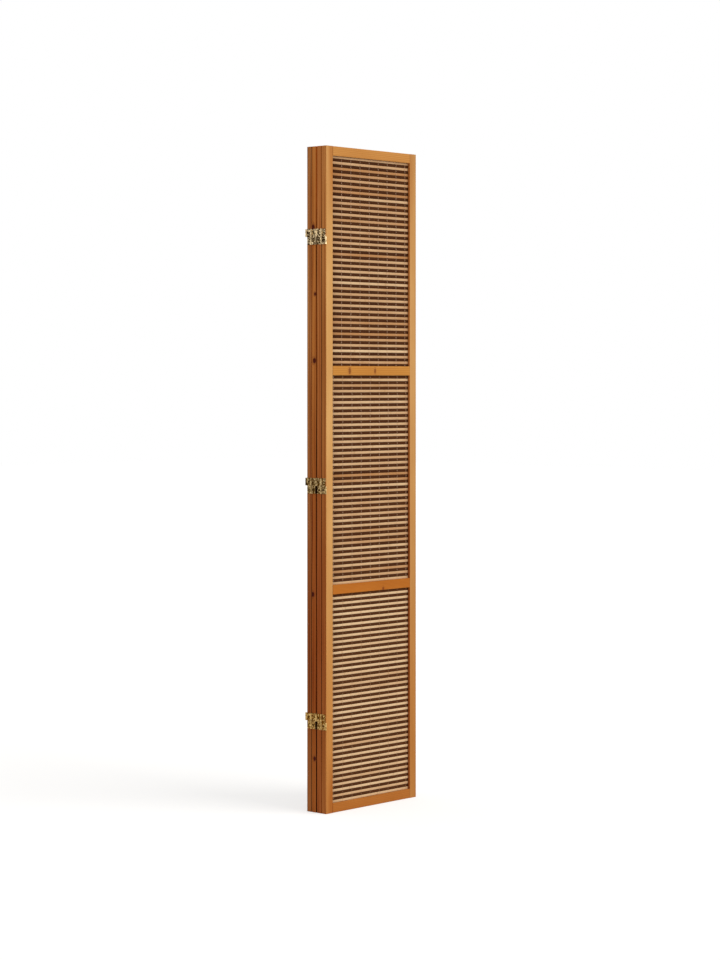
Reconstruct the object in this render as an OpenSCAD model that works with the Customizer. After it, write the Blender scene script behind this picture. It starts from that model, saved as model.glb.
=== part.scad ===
// Four-panel folding room divider with woven slat infill, shown folded shut.
// X runs across a panel, Y through the stack (front face at -Y), Z is up. Millimetres.
// The origin is the middle of the foot of the shut stack.

/* [Panels] */
// Height of every panel
panel_h = 1700; // [1500:10:2000]
// Width of every panel
panel_w = 350; // [300:5:500]
// Thickness of the frame timber
frame_t = 15.4; // [14:0.1:22]
// Width of the upright stiles
stile_w = 25; // [22:1:45]
// Height of the cross rails
rail_h = 24.4; // [24:0.2:45]
// Middle of the lower cross rail above the floor
lower_rail_z = 568.4; // [450:0.2:700]
// Middle of the upper cross rail above the floor
upper_rail_z = 1127.4; // [950:0.2:1300]
// Radius of the eased long edges of the timber
arris = 1.2; // [0.3:0.1:2]

/* [Gaps in the shut stack] */
// Gap between the two panels of a pair
pair_gap = 1.4; // [0.5:0.1:2]
// Gap between the two pairs
middle_gap = 2.4; // [1:0.1:3]

/* [Woven slats] */
// Thickness of a slat
slat_t = 2.6; // [1.6:0.2:4]
// Gap between two neighbouring slats
slat_gap = 0.3; // [0.2:0.1:1]
// Height of one light and one dark slat in the bottom section
lower_pitch = 14.01; // [12:0.01:16]
// Height of one light and one dark slat in the middle section
middle_pitch = 14.45; // [12:0.01:16]
// Height of one light and one dark slat in the top section
upper_pitch = 14.56; // [12:0.01:16]
// How far the lower two blinds start below the top of their rail
blind_drop = 0.7; // [0.4:0.1:2]
// How far the top blind starts below the top of its rail
upper_blind_drop = 1.6; // [0.4:0.1:2]
// Least height of the last slat that lies behind the rail above
slat_bite = 0.5; // [0.4:0.1:2]
// How far a slat reaches into the stile's groove
slat_inset = 7; // [4:0.5:8]
// Diameter of the cotton threads
thread_d = 1.2; // [0.8:0.1:1.6]
// Distance between two columns of threads
thread_spacing = 35.3; // [25:0.5:60]
// How far the threads of the top blind stand to the left of the others
upper_thread_shift = 4.5; // [0:0.5:8]

/* [Joinery] */
// Diameter of the dowels that pin the rails to the stiles
dowel_d = 6; // [4:0.5:7]
// Length of a dowel, half in the rail and half in the stile
dowel_l = 30; // [20:1:34]
// Room around a dowel and past each of its ends
dowel_clear = 0.05; // [0.02:0.01:0.1]

/* [Hinges] */
// Height of a whole hinge
hinge_h = 40; // [34:1:60]
// Middle of the bottom hinge above the floor
bottom_hinge_z = 233; // [150:1:300]
// Middle of the centre hinge above the floor
middle_hinge_z = 833.5; // [750:0.5:900]
// Middle of the top hinge below the top of the panel
top_hinge_drop = 231; // [150:1:300]
// Radius of the knuckles
knuckle_r = 2.2; // [2:0.1:3.5]
// Radius of the hinge pins
pin_r = 1.2; // [0.8:0.1:1.4]
// Radial running clearance of a pin
pin_clear = 0.05; // [0.02:0.01:0.1]
// Gap between two knuckles on one pin
knuckle_gap = 0.2; // [0.1:0.05:0.4]
// Thickness of the leaf that is screwed to the stile
leaf_t = 1; // [0.8:0.1:1.2]
// Thickness of the link that joins two pins
link_t = 1.2; // [0.8:0.1:1.6]
// Room between a knuckle and the timber or plates that pass it
knuckle_clear = 0.2; // [0.15:0.05:0.4]
// Radius of the hole in a link that lets the screwdriver through
access_r = 3.1; // [2.8:0.1:4]
// Radius of the screw's shank
screw_r = 1.3; // [1:0.1:1.6]
// Length of a screw with its head
screw_l = 14; // [10:0.5:15]
// Radius of the screw's flat head
screw_head_r = 2.6; // [2.2:0.1:3]

/* [Hidden] */
$fn = 32;
ease_facets = 3;
eps = 0.01;
PANELS = [1, 2, 3, 4];
FOLDS = [1, 2, 3];
PANEL_PARTS = [
    "left_stile", "right_stile", "top_rail", "upper_rail", "lower_rail", "bottom_rail",
    "light_slats", "dark_slats", "threads", "dowels", "hinge_pins", "hinge_screws"
];
// The edges that carry hinges, as [panel, fold]
HINGED_EDGES = [[1, 1], [2, 1], [2, 2], [3, 2], [3, 3], [4, 3]];

pine = [0.80, 0.57, 0.33];
pine_end = [0.72, 0.47, 0.25];
bamboo = [0.80, 0.66, 0.48];
stained = [0.27, 0.15, 0.08];
cotton = [0.86, 0.78, 0.62];
brass = [0.72, 0.60, 0.34];

// The stack, front panel first
stack_t = 4 * frame_t + 2 * pair_gap + middle_gap;
function fold_gap(fold) = fold == 2 ? middle_gap : pair_gap;
function gaps_before(n) = n == 1 ? 0 : gaps_before(n - 1) + fold_gap(n - 1);
function panel_y(n) = -stack_t / 2 + (n - 1) * frame_t + gaps_before(n);

// The folds: 1 and 3 hinge on the left edge, 2 on the right edge
axis_out = knuckle_r + knuckle_clear;
sweep_r = knuckle_r + knuckle_clear + 0.05;
hinge_heights = [bottom_hinge_z, middle_hinge_z, panel_h - top_hinge_drop];
function side(fold) = fold == 2 ? 1 : -1;
function side_name(fold) = fold == 2 ? "right" : "left";
function fold_x(fold) = side(fold) * (panel_w / 2 + axis_out);
function fold_y(fold) = panel_y(fold) + frame_t + fold_gap(fold) / 2;
// The panel whose leaf holds the fold's pin in the upper half of the hinge
function upper_panel(fold) = side(fold) < 0 ? fold : fold + 1;

// The openings between the rails, bottom first:
// [foot, head, slat pitch, light slat first, drop of the blind, shift of its threads]
opening_w = panel_w - 2 * stile_w;
SECTIONS = [
    [rail_h, lower_rail_z - rail_h / 2, lower_pitch, true, blind_drop, 0],
    [lower_rail_z + rail_h / 2, upper_rail_z - rail_h / 2, middle_pitch, true, blind_drop, 0],
    [upper_rail_z + rail_h / 2, panel_h - rail_h, upper_pitch, false, upper_blind_drop,
        -upper_thread_shift]
];
// Slats are stacked from the blind's foot until the last one reaches behind the rail above
function blind_foot(section) = section[0] - section[4];
function slat_step(section) = section[2] / 2;
function slat_count(section) =
    ceil((section[1] + slat_bite - blind_foot(section)) / slat_step(section));
// Grooves in the rails take the blind's foot and its last slat
groove_clear = 0.2;
function foot_groove(section) = section[4] + 2 * groove_clear;
function head_groove(section) = slat_bite + slat_step(section) + 2 * groove_clear;
stile_groove_w = slat_t + 2 * groove_clear;
thread_y = slat_t / 2 + thread_d / 2 + 0.05;
rail_groove_w = 2 * thread_y + thread_d + 2 * groove_clear;
thread_columns = floor((opening_w / 2 - thread_d) / thread_spacing);
rail_middles = [rail_h / 2, lower_rail_z, upper_rail_z, panel_h - rail_h / 2];

// One half of the hinge: two knuckles of the leaf with the link's knuckle between them
half_foot = 0.5;
half_h = hinge_h / 2 - half_foot;
knuckle_h = (half_h - 2 * knuckle_gap) / 3;
function link_l(fold) = frame_t + fold_gap(fold);
screw_bore_r = screw_r + 0.05;

// Children are drawn in a panel's own place: x from its middle, y from its middle plane
module in_panel(n) {
    translate([0, panel_y(n) + frame_t / 2, 0]) children();
}

// Children are drawn at each hinge of a fold, with the fold's pin on Z, the stile's edge at
// x = -axis_out and the panel on the +Y side, its pin in the upper half
module at_hinges(n, fold) {
    for (z = hinge_heights)
        translate([fold_x(fold), fold_y(fold), z])
            rotate([0, 0, side(fold) < 0 ? 180 : 0])
                rotate([n == upper_panel(fold) ? 0 : 180, 0, 0])
                    children();
}

// Children are drawn at both screws of a leaf, pointing out of the stile along X
module at_screws(fold) {
    for (z = [-hinge_h / 4, hinge_h / 4])
        translate([-axis_out + leaf_t, link_l(fold) / 2, z])
            rotate([0, 90, 0])
                children();
}

// The section of a piece of timber, from x = 0 to its width, with eased corners
module timber_section(width) {
    polygon([
        for (corner = [0 : 3])
            for (i = [0 : ease_facets])
                let (
                    turn = 90 * (corner + i / ease_facets),
                    x = corner == 0 || corner == 3 ? width - arris : arris,
                    y = (corner < 2 ? 1 : -1) * (frame_t / 2 - arris)
                )
                [x + arris * cos(turn), y + arris * sin(turn)]
    ]);
}

module stile(n, hand) {
    color(pine_end)
        difference() {
            in_panel(n)
                mirror([hand < 0 ? 1 : 0, 0, 0])
                    translate([opening_w / 2, 0, 0])
                        difference() {
                            linear_extrude(panel_h) timber_section(stile_w);
                            stile_grooves();
                            dowel_holes();
                        }
            for (e = HINGED_EDGES)
                if (e[0] == n && side(e[1]) == hand)
                    at_hinges(n, e[1]) at_screws(e[1]) screw_hole();
        }
}

module stile_grooves() {
    for (s = SECTIONS)
        translate([-eps, -stile_groove_w / 2, s[0] - foot_groove(s)])
            cube([
                slat_inset + 0.5 + eps, stile_groove_w,
                s[1] + head_groove(s) - s[0] + foot_groove(s)
            ]);
}

module dowel_holes() {
    for (z = rail_middles)
        translate([-dowel_l / 2 - dowel_clear, 0, z])
            rotate([0, 90, 0])
                cylinder(r = dowel_d / 2 + dowel_clear, h = dowel_l + 2 * dowel_clear);
}

module screw_hole() {
    translate([0, 0, -screw_l - 0.3]) cylinder(r = screw_bore_r, h = screw_l + 1);
}

// A rail with a groove for the section above it, below it or both
module rail(n, middle_z) {
    color(pine)
        in_panel(n)
            difference() {
                translate([-opening_w / 2, 0, middle_z + rail_h / 2])
                    rotate([0, 90, 0])
                        linear_extrude(opening_w) timber_section(rail_h);
                for (s = SECTIONS) rail_grooves(s);
                for (hand = [0, 1])
                    mirror([hand, 0, 0]) translate([opening_w / 2, 0, 0]) dowel_holes();
            }
}

module rail_grooves(section) {
    translate([-opening_w / 2 - 1, -rail_groove_w / 2, section[0] - foot_groove(section)])
        cube([opening_w + 2, rail_groove_w, foot_groove(section) + eps]);
    translate([-opening_w / 2 - 1, -rail_groove_w / 2, section[1] - eps])
        cube([opening_w + 2, rail_groove_w, head_groove(section) + eps]);
}

// A slat lies along X, with its ends in the stiles' grooves
module slat(height) {
    cube([opening_w + 2 * slat_inset, slat_t, height], center = true);
}

// Every second slat of each blind
module slats(n, light) {
    in_panel(n)
        for (s = SECTIONS) {
            step = slat_step(s);
            for (i = [(light == s[3] ? 0 : 1) : 2 : slat_count(s) - 1])
                translate([0, 0, blind_foot(s) + (i + 0.5) * step]) slat(step - slat_gap);
        }
}

module light_slats(n) { color(bamboo) slats(n, true); }
module dark_slats(n) { color(stained) slats(n, false); }

// Front and back threads in columns, as long as the blind is high
module threads(n) {
    color(cotton)
        in_panel(n)
            for (s = SECTIONS)
                for (c = [-thread_columns : thread_columns])
                    for (face = [-1, 1])
                        translate([c * thread_spacing + s[5], face * thread_y, blind_foot(s)])
                            cylinder(d = thread_d, h = slat_count(s) * slat_step(s), $fn = 8);
}

module dowels(n) {
    color(pine_end)
        in_panel(n)
            for (hand = [0, 1])
                mirror([hand, 0, 0])
                    for (z = rail_middles)
                        translate([opening_w / 2 - dowel_l / 2, 0, z])
                            rotate([0, 90, 0])
                                cylinder(d = dowel_d, h = dowel_l);
}

// The foot of each third of a half hinge: 0 and 2 are the leaf's knuckles, 1 is the link's
function third_foot(i) = half_foot + i * (knuckle_h + knuckle_gap);

module knuckle(i) {
    translate([0, 0, third_foot(i)]) cylinder(r = knuckle_r, h = knuckle_h);
}

// Room for a knuckle that swings past a plate
module swing_room(i) {
    gap = knuckle_gap;
    translate([-axis_out - 1, -sweep_r, third_foot(i) - gap])
        cube([axis_out + sweep_r + 1, 2 * sweep_r, knuckle_h + 2 * gap]);
}

// Room for all the knuckles of one half of the hinge
module half_room() {
    translate([-axis_out - 1, -sweep_r, -half_foot])
        cube([axis_out + sweep_r + 1, 2 * sweep_r, hinge_h / 2 + 2]);
}

module pin_bore() {
    translate([0, 0, -1]) cylinder(r = pin_r + pin_clear, h = hinge_h / 2 + 2);
}

// A leaf: knuckles on the fold's pin above, and on the outer pin below
module leaf(fold) {
    l = link_l(fold);
    difference() {
        union() {
            difference() {
                translate([-axis_out, 0, -hinge_h / 2]) cube([leaf_t, l, hinge_h]);
                swing_room(1);
                mirror([0, 0, 1]) half_room();
                translate([0, l, 0]) half_room();
                translate([0, l, 0]) mirror([0, 0, 1]) swing_room(1);
            }
            for (i = [0, 2]) {
                knuckle(i);
                translate([0, l, 0]) mirror([0, 0, 1]) knuckle(i);
            }
        }
        translate([0, 0, half_foot]) pin_bore();
        translate([0, l, -half_foot]) mirror([0, 0, 1]) pin_bore();
        at_screws(fold) screw_head(0.05);
    }
}

// A link: from the fold's pin to the outer pin, in the lower half of the hinge
module link(fold) {
    l = link_l(fold);
    mirror([0, 0, 1])
        difference() {
            union() {
                difference() {
                    translate([-link_t / 2, 0, half_foot]) cube([link_t, l, half_h]);
                    for (y = [0, l])
                        for (i = [0, 2])
                            translate([0, y, 0]) swing_room(i);
                }
                for (y = [0, l])
                    translate([0, y, 0]) knuckle(1);
            }
            for (y = [0, l])
                translate([0, y, half_foot]) pin_bore();
            translate([-link_t, l / 2, hinge_h / 4])
                rotate([0, 90, 0])
                    cylinder(r = access_r, h = 2 * link_t);
        }
}

module screw_head(clear) {
    translate([0, 0, -leaf_t - eps])
        cylinder(r1 = screw_r + clear, r2 = screw_head_r + clear, h = leaf_t + 2 * eps);
}

module screw() {
    recess = 0.5;
    point = 3;
    difference() {
        union() {
            translate([0, 0, -leaf_t]) cylinder(r1 = screw_r, r2 = screw_head_r, h = leaf_t);
            translate([0, 0, -screw_l + point]) cylinder(r = screw_r, h = screw_l - point - leaf_t);
            translate([0, 0, -screw_l]) cylinder(r1 = 0.2, r2 = screw_r, h = point);
        }
        for (turn = [0, 90])
            rotate([0, 0, turn])
                translate([-recess / 2, -1.6, -recess])
                    cube([recess, 3.2, 1]);
    }
}

// The upper half's fold pin and the lower half's outer pin ride with the same leaf
module pins(fold) {
    translate([0, 0, half_foot]) cylinder(r = pin_r, h = half_h);
    translate([0, link_l(fold), -half_foot]) mirror([0, 0, 1]) cylinder(r = pin_r, h = half_h);
}

module hinge_leaves(n, fold) { color(brass) at_hinges(n, fold) leaf(fold); }
module hinge_links(n, fold) { color(brass) at_hinges(n, fold) link(fold); }

module hinge_pins(n) {
    color(brass)
        for (e = HINGED_EDGES)
            if (e[0] == n) at_hinges(n, e[1]) pins(e[1]);
}

module hinge_screws(n) {
    color(brass)
        for (e = HINGED_EDGES)
            if (e[0] == n) at_hinges(n, e[1]) at_screws(e[1]) screw();
}

for (n = PANELS) {
    p = str("panel_", n, "_");
    stile(n, -1);
    stile(n, 1);
    rail(n, rail_middles[3]);
    rail(n, rail_middles[2]);
    rail(n, rail_middles[1]);
    rail(n, rail_middles[0]);
    light_slats(n);
    dark_slats(n);
    threads(n);
    dowels(n);
    hinge_pins(n);
    hinge_screws(n);
}

for (e = HINGED_EDGES) {
    p = str("panel_", e[0], "_", side_name(e[1]), "_");
    hinge_leaves(e[0], e[1]);
    hinge_links(e[0], e[1]);
}
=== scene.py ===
# %% [markdown]
# # A folding room divider in Blender
# Four narrow pine frames are folded flat, one behind the other. Each is filled with a blind of
# light and dark slats tied by threads, and brass double-action hinges join the edges.
# The frames and hinges arrive as solids with their real sizes. This lesson dresses them: it makes
# the blinds again with split-bamboo slats and woven threads, and gives every surface its finish.

# %% The frame: solids, bodies and the room they take
import math

import bpy
import numpy as np
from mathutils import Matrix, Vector


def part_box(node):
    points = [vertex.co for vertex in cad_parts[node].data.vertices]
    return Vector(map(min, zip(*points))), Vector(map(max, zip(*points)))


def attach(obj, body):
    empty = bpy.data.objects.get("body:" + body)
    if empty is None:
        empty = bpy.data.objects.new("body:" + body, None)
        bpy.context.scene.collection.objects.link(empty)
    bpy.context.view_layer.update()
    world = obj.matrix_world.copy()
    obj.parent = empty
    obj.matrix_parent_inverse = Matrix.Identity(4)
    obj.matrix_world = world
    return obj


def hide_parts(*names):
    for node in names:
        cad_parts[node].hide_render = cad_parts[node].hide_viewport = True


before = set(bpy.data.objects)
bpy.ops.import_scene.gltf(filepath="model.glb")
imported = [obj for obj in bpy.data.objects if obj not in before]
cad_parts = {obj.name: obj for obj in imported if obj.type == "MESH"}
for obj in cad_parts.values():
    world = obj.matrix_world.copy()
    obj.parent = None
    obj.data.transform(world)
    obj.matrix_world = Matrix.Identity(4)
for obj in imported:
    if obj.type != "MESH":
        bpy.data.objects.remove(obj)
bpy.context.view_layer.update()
PANELS = (1, 2, 3, 4)
MM = 0.001                            # the scene is in metres

# %% [markdown]
# ## The camera
# The photograph was taken level: its upright lines are parallel, and only the frame of view was
# moved down. So the camera looks along the ground at the height of the horizon, and the lens is
# shifted. The near edge of the stack is a known point, at a known distance and a known place in
# the picture, which fixes where the camera stands.

# %% The camera at the photograph's place
PHOTO_W, PHOTO_H = 720, 960
VIEW_TURN = math.radians(48)          # round from square-on to the front panel
CAMERA_HEIGHT = 1.104
NEAR_EDGE_DISTANCE = 6.208
FOCAL_PIXELS = 2443.0                 # the lens in pixels of the photograph
NEAR_EDGE_PIXEL = 326.2               # where the near edge of the stack stands in it
HORIZON_PIXEL = 379.8
SENSOR = 36.0


def place_camera():
    """The line of sight is turned by VIEW_TURN. The near edge lies NEAR_EDGE_DISTANCE along it,
    and off it by (pixel - middle pixel) / focal pixels of that distance."""
    sight = np.array([math.sin(VIEW_TURN), math.cos(VIEW_TURN)])
    across = np.array([math.cos(VIEW_TURN), -math.sin(VIEW_TURN)])
    near_edge = np.array([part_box("panel_1_left_stile")[0].x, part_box("panel_1_left_stile")[0].y])
    off = (NEAR_EDGE_PIXEL - PHOTO_W / 2) / FOCAL_PIXELS * NEAR_EDGE_DISTANCE
    spot = near_edge - sight * NEAR_EDGE_DISTANCE - across * off
    data = bpy.data.cameras.new("photo_camera")
    data.sensor_fit = "AUTO"
    data.sensor_width = SENSOR
    data.lens = FOCAL_PIXELS * SENSOR / PHOTO_H
    data.shift_y = -(PHOTO_H / 2 - HORIZON_PIXEL) / PHOTO_H
    camera = bpy.data.objects.new("photo_camera", data)
    camera.location = (spot[0], spot[1], CAMERA_HEIGHT)
    camera.rotation_euler = (math.pi / 2, 0, -VIEW_TURN)
    bpy.context.scene.collection.objects.link(camera)
    bpy.context.scene.camera = camera
    print("camera at", spot, "lens", data.lens)


place_camera()

# %% [markdown]
# ## Small helpers for node trees
# The sky, the floor and every finish below are trees of nodes. Each tree could be built by hand
# in the Shader Editor. In a script a few helpers keep it short: one fills a node's inputs, with
# plain values or with other nodes' outputs, one adds a node, and the others do arithmetic, noise
# and the mixing of colours.

# %% Helpers that add a node


def fill_socket(tree, socket, value):
    """Puts a plain value into the socket, or links another node's output to it."""
    if isinstance(value, bpy.types.NodeSocket):
        tree.links.new(value, socket)
    else:
        socket.default_value = value


def fill(tree, node, inputs):
    """inputs maps a socket's name or number to a value or to an output."""
    for name, value in dict(inputs).items():
        fill_socket(tree, node.inputs[name], value)


def add_node(tree, kind, inputs=(), **settings):
    """A node of that kind, with its settings made and its inputs filled."""
    node = tree.nodes.new(kind)
    for name, value in settings.items():
        setattr(node, name, value)
    fill(tree, node, inputs)
    return node


print("helpers for nodes: fill_socket, fill, add_node")

# %% Helpers for numbers and vectors


def do_math(tree, operation, *values, clamp=False):
    """One operation on numbers. clamp keeps the result between 0 and 1."""
    node = add_node(tree, "ShaderNodeMath", enumerate(values), operation=operation)
    node.use_clamp = clamp
    return node.outputs[0]


def times(tree, *values):
    """The product of all the values."""
    product = values[0]
    for value in values[1:]:
        product = do_math(tree, "MULTIPLY", product, value)
    return product


def absolute(tree, value):
    """The value without its sign."""
    return do_math(tree, "ABSOLUTE", value)


def do_vector(tree, operation, *values):
    """One operation on vectors. LENGTH gives a number, the others a vector."""
    node = add_node(tree, "ShaderNodeVectorMath", enumerate(values), operation=operation)
    return node.outputs["Value" if operation == "LENGTH" else "Vector"]


def parts_of(tree, vector):
    """The X, Y and Z of a vector."""
    return add_node(tree, "ShaderNodeSeparateXYZ", {0: vector}).outputs


def smooth_step(tree, value, low, high, to_low=0.0, to_high=1.0):
    """to_low at the value low, to_high at the value high, an S-shaped change between the two and
    none beyond them. low may be the greater one."""
    node = add_node(tree, "ShaderNodeMapRange",
                    {"Value": value, "From Min": low, "From Max": high,
                     "To Min": to_low, "To Max": to_high}, interpolation_type="SMOOTHSTEP")
    return node.outputs["Result"]


print("helpers for numbers: do_math, times, absolute, do_vector, parts_of, smooth_step")

# %% Helpers for noise, colour and relief
NOISE_SPAN = (0.2, 0.8)               # nearly all of a noise lies between these


def noise(tree, vector, scale, detail=2.0, rough=0.5):
    """Soft noise about 0.5, with about scale waves a metre."""
    node = add_node(tree, "ShaderNodeTexNoise",
                    {"Vector": vector, "Scale": scale, "Detail": detail, "Roughness": rough})
    return node.outputs["Fac"]


def drawn_noise(tree, vector, waves, detail=2.0, rough=0.5):
    """Noise that is drawn out: waves says how many there are a metre along X, Y and Z."""
    return noise(tree, do_vector(tree, "MULTIPLY", vector, waves), 1.0, detail, rough)


def blend_colour(tree, share, a, b, mode="MIX"):
    """Colour a where share is 0. Where it is 1, b, or a times b if mode is MULTIPLY."""
    node = add_node(tree, "ShaderNodeMix", data_type="RGBA", blend_type=mode)
    sockets = {socket.identifier: socket for socket in node.inputs}
    for name, value in (("Factor_Float", share), ("A_Color", a), ("B_Color", b)):
        fill_socket(tree, sockets[name], value)
    return next(socket for socket in node.outputs if socket.identifier == "Result_Color")


def tinted(tree, colour, share, tint):
    """The colour, times the tint where share is 1."""
    return blend_colour(tree, share, colour, tint, "MULTIPLY")


def relief(tree, height, strength, deep):
    """A normal bent by the height, whose range from 0 to 1 counts as this deep in metres."""
    return add_node(tree, "ShaderNodeBump", {"Height": height, "Strength": strength,
                                             "Distance": deep}).outputs["Normal"]


print("helpers for looks: noise, drawn_noise, blend_colour, tinted, relief")

# %% Helpers that start a group or a material


def new_group(name, takes, gives):
    """A node group's tree, what it takes and the node that it fills with what it gives. takes maps
    a socket's name to (kind, default), and gives maps it to its kind."""
    tree = bpy.data.node_groups.new(name, "ShaderNodeTree")
    for socket, (kind, default) in takes.items():
        made = tree.interface.new_socket(socket, in_out="INPUT", socket_type="NodeSocket" + kind)
        made.default_value = default
    for socket, kind in gives.items():
        tree.interface.new_socket(socket, in_out="OUTPUT", socket_type="NodeSocket" + kind)
    return tree, tree.nodes.new("NodeGroupInput").outputs, tree.nodes.new("NodeGroupOutput")


def use_group(tree, group, inputs):
    """What a group gives when it is placed in this tree with its own values."""
    return add_node(tree, "ShaderNodeGroup", inputs, node_tree=group).outputs


def start_material(name):
    """A new material, its tree, its Principled BSDF and the coordinates of its surface."""
    material = bpy.data.materials.new(name)
    material.use_nodes = True
    tree = material.node_tree
    coords = tree.nodes.new("ShaderNodeTexCoord").outputs
    return material, tree, tree.nodes["Principled BSDF"], coords


print("helpers for materials: new_group, use_group, start_material")

# %% [markdown]
# ## Light and floor
# A studio light is plain: one broad lamp from the front right, which leaves the stack's edge in
# shade as the photograph has it, and an even sky. The sky and floor show white to the camera by
# asking Light Path what looks at them, so no extra light falls on the wood.

# %% The sky and the lamp
WHITE = (1, 1, 1, 1)
SKY_COLOUR = (1.0, 0.985, 0.96, 1)
SKY_LEVEL = 0.53
LAMP_COLOUR = (1.0, 0.97, 0.92)
LAMP_LEVEL = 1.98
LAMP_SPREAD = math.radians(50)        # as broad as a softbox, so shadows have soft edges
LAMP_FROM = (0.30, -0.86, 0.42)


def seen_by_eye(tree):
    """1 where a camera, mirror or glass ray looks, and 0 for the light that falls on things."""
    ray = add_node(tree, "ShaderNodeLightPath").outputs
    seen = do_math(tree, "MAXIMUM", ray["Is Camera Ray"], ray["Is Glossy Ray"])
    return do_math(tree, "MAXIMUM", seen, ray["Is Transmission Ray"])


def make_sky():
    """The light of SKY_LEVEL for the object, and plain white for the eye."""
    world = bpy.data.worlds.new("studio")
    world.use_nodes = True
    tree = world.node_tree
    tree.nodes.clear()
    lit = add_node(tree, "ShaderNodeBackground", {"Color": SKY_COLOUR, "Strength": SKY_LEVEL})
    shown = add_node(tree, "ShaderNodeBackground", {"Color": WHITE, "Strength": 1.0})
    mix = add_node(tree, "ShaderNodeMixShader",
                   {0: seen_by_eye(tree), 1: lit.outputs[0], 2: shown.outputs[0]})
    add_node(tree, "ShaderNodeOutputWorld", {"Surface": mix.outputs[0]})
    bpy.context.scene.world = world
    bpy.context.scene.view_settings.view_transform = "Standard"


def make_lamp():
    """A sun lamp that shines from LAMP_FROM towards the origin."""
    data = bpy.data.lights.new("softbox", "SUN")
    data.energy = LAMP_LEVEL
    data.angle = LAMP_SPREAD
    data.color = LAMP_COLOUR
    lamp = bpy.data.objects.new("softbox", data)
    lamp.rotation_mode = "QUATERNION"
    lamp.rotation_quaternion = Vector(LAMP_FROM).to_track_quat("Z", "Y")
    bpy.context.scene.collection.objects.link(lamp)


make_sky()
make_lamp()
print("sky", SKY_LEVEL, "lamp", LAMP_LEVEL)

# %% The floor
FLOOR_COLOUR = (0.55, 0.55, 0.55, 1)
FLOOR_GLOW = 0.62
FLOOR_SIZE = 40.0
FLOOR_DROP = 0.5 * MM                 # so that the floor and the screen's foot never share a plane


def floor_material():
    """A matt pale grey. For the eye it adds enough glow of its own to make the open floor white."""
    material = bpy.data.materials.new("white_floor")
    material.use_nodes = True
    tree = material.node_tree
    tree.nodes.clear()
    matt = add_node(tree, "ShaderNodeBsdfDiffuse", {"Color": FLOOR_COLOUR})
    strength = times(tree, seen_by_eye(tree), FLOOR_GLOW)
    glow = add_node(tree, "ShaderNodeEmission", {"Color": WHITE, "Strength": strength})
    both = add_node(tree, "ShaderNodeAddShader", {0: matt.outputs[0], 1: glow.outputs[0]})
    add_node(tree, "ShaderNodeOutputMaterial", {"Surface": both.outputs[0]})
    return material


def make_floor():
    """A square that takes the object's shadow."""
    half = FLOOR_SIZE / 2
    mesh = bpy.data.meshes.new("floor")
    mesh.from_pydata([(-half, -half, 0), (half, -half, 0), (half, half, 0), (-half, half, 0)],
                     [], [(0, 1, 2, 3)])
    mesh.materials.append(floor_material())
    floor = bpy.data.objects.new("floor", mesh)
    floor.location.z = -FLOOR_DROP
    bpy.context.scene.collection.objects.link(floor)


make_floor()
print("floor", FLOOR_SIZE, "m square")

# %% [markdown]
# ## Pine
# Sawn pine shows the yearly rings of the tree as long lines, because a board is cut along the
# trunk. So the pattern is built as a tree grows: the distance from a pith that lies beside the
# board, bent a little along the length, gives rings, and each ring ends in a thin dark line of
# late wood. Fine fibres, a slow change of tone and narrow streaks go on top. The group takes a
# position whose Z runs along the grain, so the same group serves upright stiles and level rails.

# %% The group for sawn pine
ORIGIN = (0.0, 0.0, 0.0)
RING_SHARPNESS = 3.0                  # the power that leaves a thin line of each wave
# How many waves a metre each noise has, across the grain (X, Y) and along it (Z)
BEND_WAVES = (9, 9, 1.3)
UNEVEN_WAVES = (60, 60, 3)
FIBRE_WAVES = (1500, 1500, 25)
TONE_WAVES = (14, 14, 3.2)
STREAK_WAVES = (210, 210, 2.2)
STREAK_RISE = (0.50, 0.66)            # the noise at which a streak begins and is full


def make_pine_group():
    """r = distance from the pith in XY + Wander (noise - 0.5) + Knot Push.
    Rings = (0.5 + 0.5 sin(2 pi r / Ring Gap))^3, times a noise that makes them uneven. Fibre,
    Tone and Streak are noises drawn out 60, 4 and 95 times along Z."""
    tree, take, give = new_group(
        "sawn_pine",
        {"Position": ("Vector", ORIGIN), "Pith": ("Vector", (0.03, 0.05, 0.0)),
         "Ring Gap": ("Float", 4.2 * MM), "Wander": ("Float", 12 * MM),
         "Knot Push": ("Float", 0.0)},
        {"Rings": "Float", "Fibre": "Float", "Tone": "Float", "Streak": "Float"})
    place = do_vector(tree, "ADD", take["Position"], take["Pith"])
    radius = do_vector(tree, "LENGTH", do_vector(tree, "MULTIPLY", place, (1, 1, 0)))
    bend = do_math(tree, "SUBTRACT", drawn_noise(tree, place, BEND_WAVES), 0.5)
    bent = do_math(tree, "ADD", radius, times(tree, bend, take["Wander"]))
    pushed = do_math(tree, "ADD", bent, take["Knot Push"])
    turns = do_math(tree, "DIVIDE", pushed, take["Ring Gap"])
    wave = do_math(tree, "SINE", times(tree, turns, 2 * math.pi))
    positive = do_math(tree, "MULTIPLY_ADD", wave, 0.5, 0.5)
    line = do_math(tree, "POWER", positive, RING_SHARPNESS)
    narrow = drawn_noise(tree, place, STREAK_WAVES, detail=1)
    fill(tree, give, {
        "Rings": times(tree, line, drawn_noise(tree, place, UNEVEN_WAVES, detail=1)),
        "Fibre": drawn_noise(tree, place, FIBRE_WAVES, detail=3, rough=0.6),
        "Tone": drawn_noise(tree, place, TONE_WAVES),
        "Streak": smooth_step(tree, narrow, *STREAK_RISE)})
    return tree


pine_group = make_pine_group()
print("group", pine_group.name, "with", len(pine_group.nodes), "nodes")

# %% The group for a knot
KNOT_ROUGH_WAVES = 420.0
KNOT_ROUGHNESS = 0.5                  # how much the noise adds to q
CORE_RIM = (1.10, 1.45)
HALO_RIM = (1.10, 2.80)
RINGS_ASIDE = 6 * MM                  # how far the rings step aside round a knot


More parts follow.
